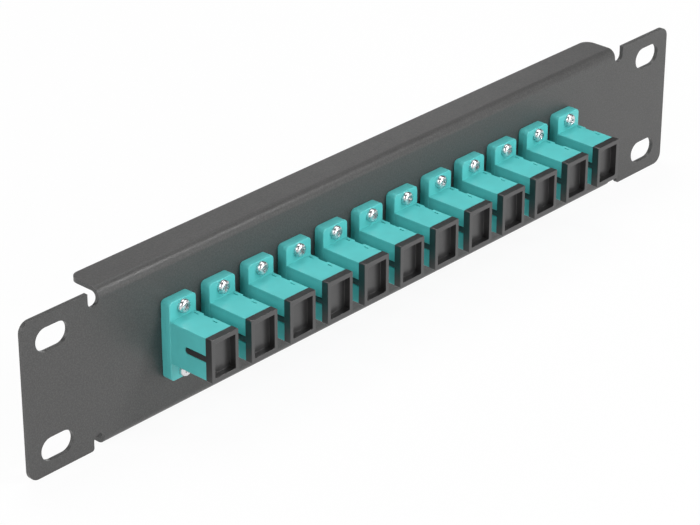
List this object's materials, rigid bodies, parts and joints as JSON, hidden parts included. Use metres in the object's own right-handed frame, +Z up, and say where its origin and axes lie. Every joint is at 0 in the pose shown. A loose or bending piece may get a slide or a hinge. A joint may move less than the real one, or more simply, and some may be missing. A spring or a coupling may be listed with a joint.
{
  "type": "fibre patch panel",
  "caption": "Folded steel rack panel that carries a row of keyed fibre adapters, each screwed on by two ears and closed front and back by pull-out dust caps.",
  "frame": {"origin": "middle of the four rack slots, on the rear face of the ears", "axes": "+X along the panel, -Y out of its front face, +Z up"},
  "size_m": [0.254, 0.0328, 0.044],
  "materials": {
    "sheet_paint": "charcoal powder coat, fine grain, low sheen",
    "housing_plastic": "moulded aqua plastic, satin",
    "holder_plastic": "moulded dark aqua plastic, satin",
    "cap_plastic": "moulded black soft plastic",
    "sleeve_ceramic": "ground white ceramic",
    "screw_steel": "bright nickel-plated steel"
  },
  "bodies": {
    "panel_assembly": {"panel": "sheet_paint", "split_sleeves": "sleeve_ceramic", "ear_screws": "screw_steel", "adapter_housing_01": "housing_plastic", "adapter_housing_02": "housing_plastic", "adapter_housing_03": "housing_plastic", "adapter_housing_04": "housing_plastic", "adapter_housing_05": "housing_plastic", "adapter_housing_06": "housing_plastic", "adapter_housing_07": "housing_plastic", "adapter_housing_08": "housing_plastic", "adapter_housing_09": "housing_plastic", "adapter_housing_10": "housing_plastic", "adapter_housing_11": "housing_plastic", "adapter_housing_12": "housing_plastic", "sleeve_holder_01": "holder_plastic", "sleeve_holder_02": "holder_plastic", "sleeve_holder_03": "holder_plastic", "sleeve_holder_04": "holder_plastic", "sleeve_holder_05": "holder_plastic", "sleeve_holder_06": "holder_plastic", "sleeve_holder_07": "holder_plastic", "sleeve_holder_08": "holder_plastic", "sleeve_holder_09": "holder_plastic", "sleeve_holder_10": "holder_plastic", "sleeve_holder_11": "holder_plastic", "sleeve_holder_12": "holder_plastic"},
    "front_cap_01": {"front_dust_cap_01": "cap_plastic"},
    "rear_cap_01": {"rear_dust_cap_01": "cap_plastic"},
    "front_cap_02": {"front_dust_cap_02": "cap_plastic"},
    "rear_cap_02": {"rear_dust_cap_02": "cap_plastic"},
    "front_cap_03": {"front_dust_cap_03": "cap_plastic"},
    "rear_cap_03": {"rear_dust_cap_03": "cap_plastic"},
    "front_cap_04": {"front_dust_cap_04": "cap_plastic"},
    "rear_cap_04": {"rear_dust_cap_04": "cap_plastic"},
    "front_cap_05": {"front_dust_cap_05": "cap_plastic"},
    "rear_cap_05": {"rear_dust_cap_05": "cap_plastic"},
    "front_cap_06": {"front_dust_cap_06": "cap_plastic"},
    "rear_cap_06": {"rear_dust_cap_06": "cap_plastic"},
    "front_cap_07": {"front_dust_cap_07": "cap_plastic"},
    "rear_cap_07": {"rear_dust_cap_07": "cap_plastic"},
    "front_cap_08": {"front_dust_cap_08": "cap_plastic"},
    "rear_cap_08": {"rear_dust_cap_08": "cap_plastic"},
    "front_cap_09": {"front_dust_cap_09": "cap_plastic"},
    "rear_cap_09": {"rear_dust_cap_09": "cap_plastic"},
    "front_cap_10": {"front_dust_cap_10": "cap_plastic"},
    "rear_cap_10": {"rear_dust_cap_10": "cap_plastic"},
    "front_cap_11": {"front_dust_cap_11": "cap_plastic"},
    "rear_cap_11": {"rear_dust_cap_11": "cap_plastic"},
    "front_cap_12": {"front_dust_cap_12": "cap_plastic"},
    "rear_cap_12": {"rear_dust_cap_12": "cap_plastic"}
  },
  "joints": [
    {"name": "front_cap_pull_01", "type": "slide", "parent": "panel_assembly", "child": "front_cap_01", "axis": [0, -1, 0], "range_m": [0, 0.02]},
    {"name": "rear_cap_pull_01", "type": "slide", "parent": "panel_assembly", "child": "rear_cap_01", "axis": [0, 1, 0], "range_m": [0, 0.02]},
    {"name": "front_cap_pull_02", "type": "slide", "parent": "panel_assembly", "child": "front_cap_02", "axis": [0, -1, 0], "range_m": [0, 0.02]},
    {"name": "rear_cap_pull_02", "type": "slide", "parent": "panel_assembly", "child": "rear_cap_02", "axis": [0, 1, 0], "range_m": [0, 0.02]},
    {"name": "front_cap_pull_03", "type": "slide", "parent": "panel_assembly", "child": "front_cap_03", "axis": [0, -1, 0], "range_m": [0, 0.02]},
    {"name": "rear_cap_pull_03", "type": "slide", "parent": "panel_assembly", "child": "rear_cap_03", "axis": [0, 1, 0], "range_m": [0, 0.02]},
    {"name": "front_cap_pull_04", "type": "slide", "parent": "panel_assembly", "child": "front_cap_04", "axis": [0, -1, 0], "range_m": [0, 0.02]},
    {"name": "rear_cap_pull_04", "type": "slide", "parent": "panel_assembly", "child": "rear_cap_04", "axis": [0, 1, 0], "range_m": [0, 0.02]},
    {"name": "front_cap_pull_05", "type": "slide", "parent": "panel_assembly", "child": "front_cap_05", "axis": [0, -1, 0], "range_m": [0, 0.02]},
    {"name": "rear_cap_pull_05", "type": "slide", "parent": "panel_assembly", "child": "rear_cap_05", "axis": [0, 1, 0], "range_m": [0, 0.02]},
    {"name": "front_cap_pull_06", "type": "slide", "parent": "panel_assembly", "child": "front_cap_06", "axis": [0, -1, 0], "range_m": [0, 0.02]},
    {"name": "rear_cap_pull_06", "type": "slide", "parent": "panel_assembly", "child": "rear_cap_06", "axis": [0, 1, 0], "range_m": [0, 0.02]},
    {"name": "front_cap_pull_07", "type": "slide", "parent": "panel_assembly", "child": "front_cap_07", "axis": [0, -1, 0], "range_m": [0, 0.02]},
    {"name": "rear_cap_pull_07", "type": "slide", "parent": "panel_assembly", "child": "rear_cap_07", "axis": [0, 1, 0], "range_m": [0, 0.02]},
    {"name": "front_cap_pull_08", "type": "slide", "parent": "panel_assembly", "child": "front_cap_08", "axis": [0, -1, 0], "range_m": [0, 0.02]},
    {"name": "rear_cap_pull_08", "type": "slide", "parent": "panel_assembly", "child": "rear_cap_08", "axis": [0, 1, 0], "range_m": [0, 0.02]},
    {"name": "front_cap_pull_09", "type": "slide", "parent": "panel_assembly", "child": "front_cap_09", "axis": [0, -1, 0], "range_m": [0, 0.02]},
    {"name": "rear_cap_pull_09", "type": "slide", "parent": "panel_assembly", "child": "rear_cap_09", "axis": [0, 1, 0], "range_m": [0, 0.02]},
    {"name": "front_cap_pull_10", "type": "slide", "parent": "panel_assembly", "child": "front_cap_10", "axis": [0, -1, 0], "range_m": [0, 0.02]},
    {"name": "rear_cap_pull_10", "type": "slide", "parent": "panel_assembly", "child": "rear_cap_10", "axis": [0, 1, 0], "range_m": [0, 0.02]},
    {"name": "front_cap_pull_11", "type": "slide", "parent": "panel_assembly", "child": "front_cap_11", "axis": [0, -1, 0], "range_m": [0, 0.02]},
    {"name": "rear_cap_pull_11", "type": "slide", "parent": "panel_assembly", "child": "rear_cap_11", "axis": [0, 1, 0], "range_m": [0, 0.02]},
    {"name": "front_cap_pull_12", "type": "slide", "parent": "panel_assembly", "child": "front_cap_12", "axis": [0, -1, 0], "range_m": [0, 0.02]},
    {"name": "rear_cap_pull_12", "type": "slide", "parent": "panel_assembly", "child": "rear_cap_12", "axis": [0, 1, 0], "range_m": [0, 0.02]}
  ]
}
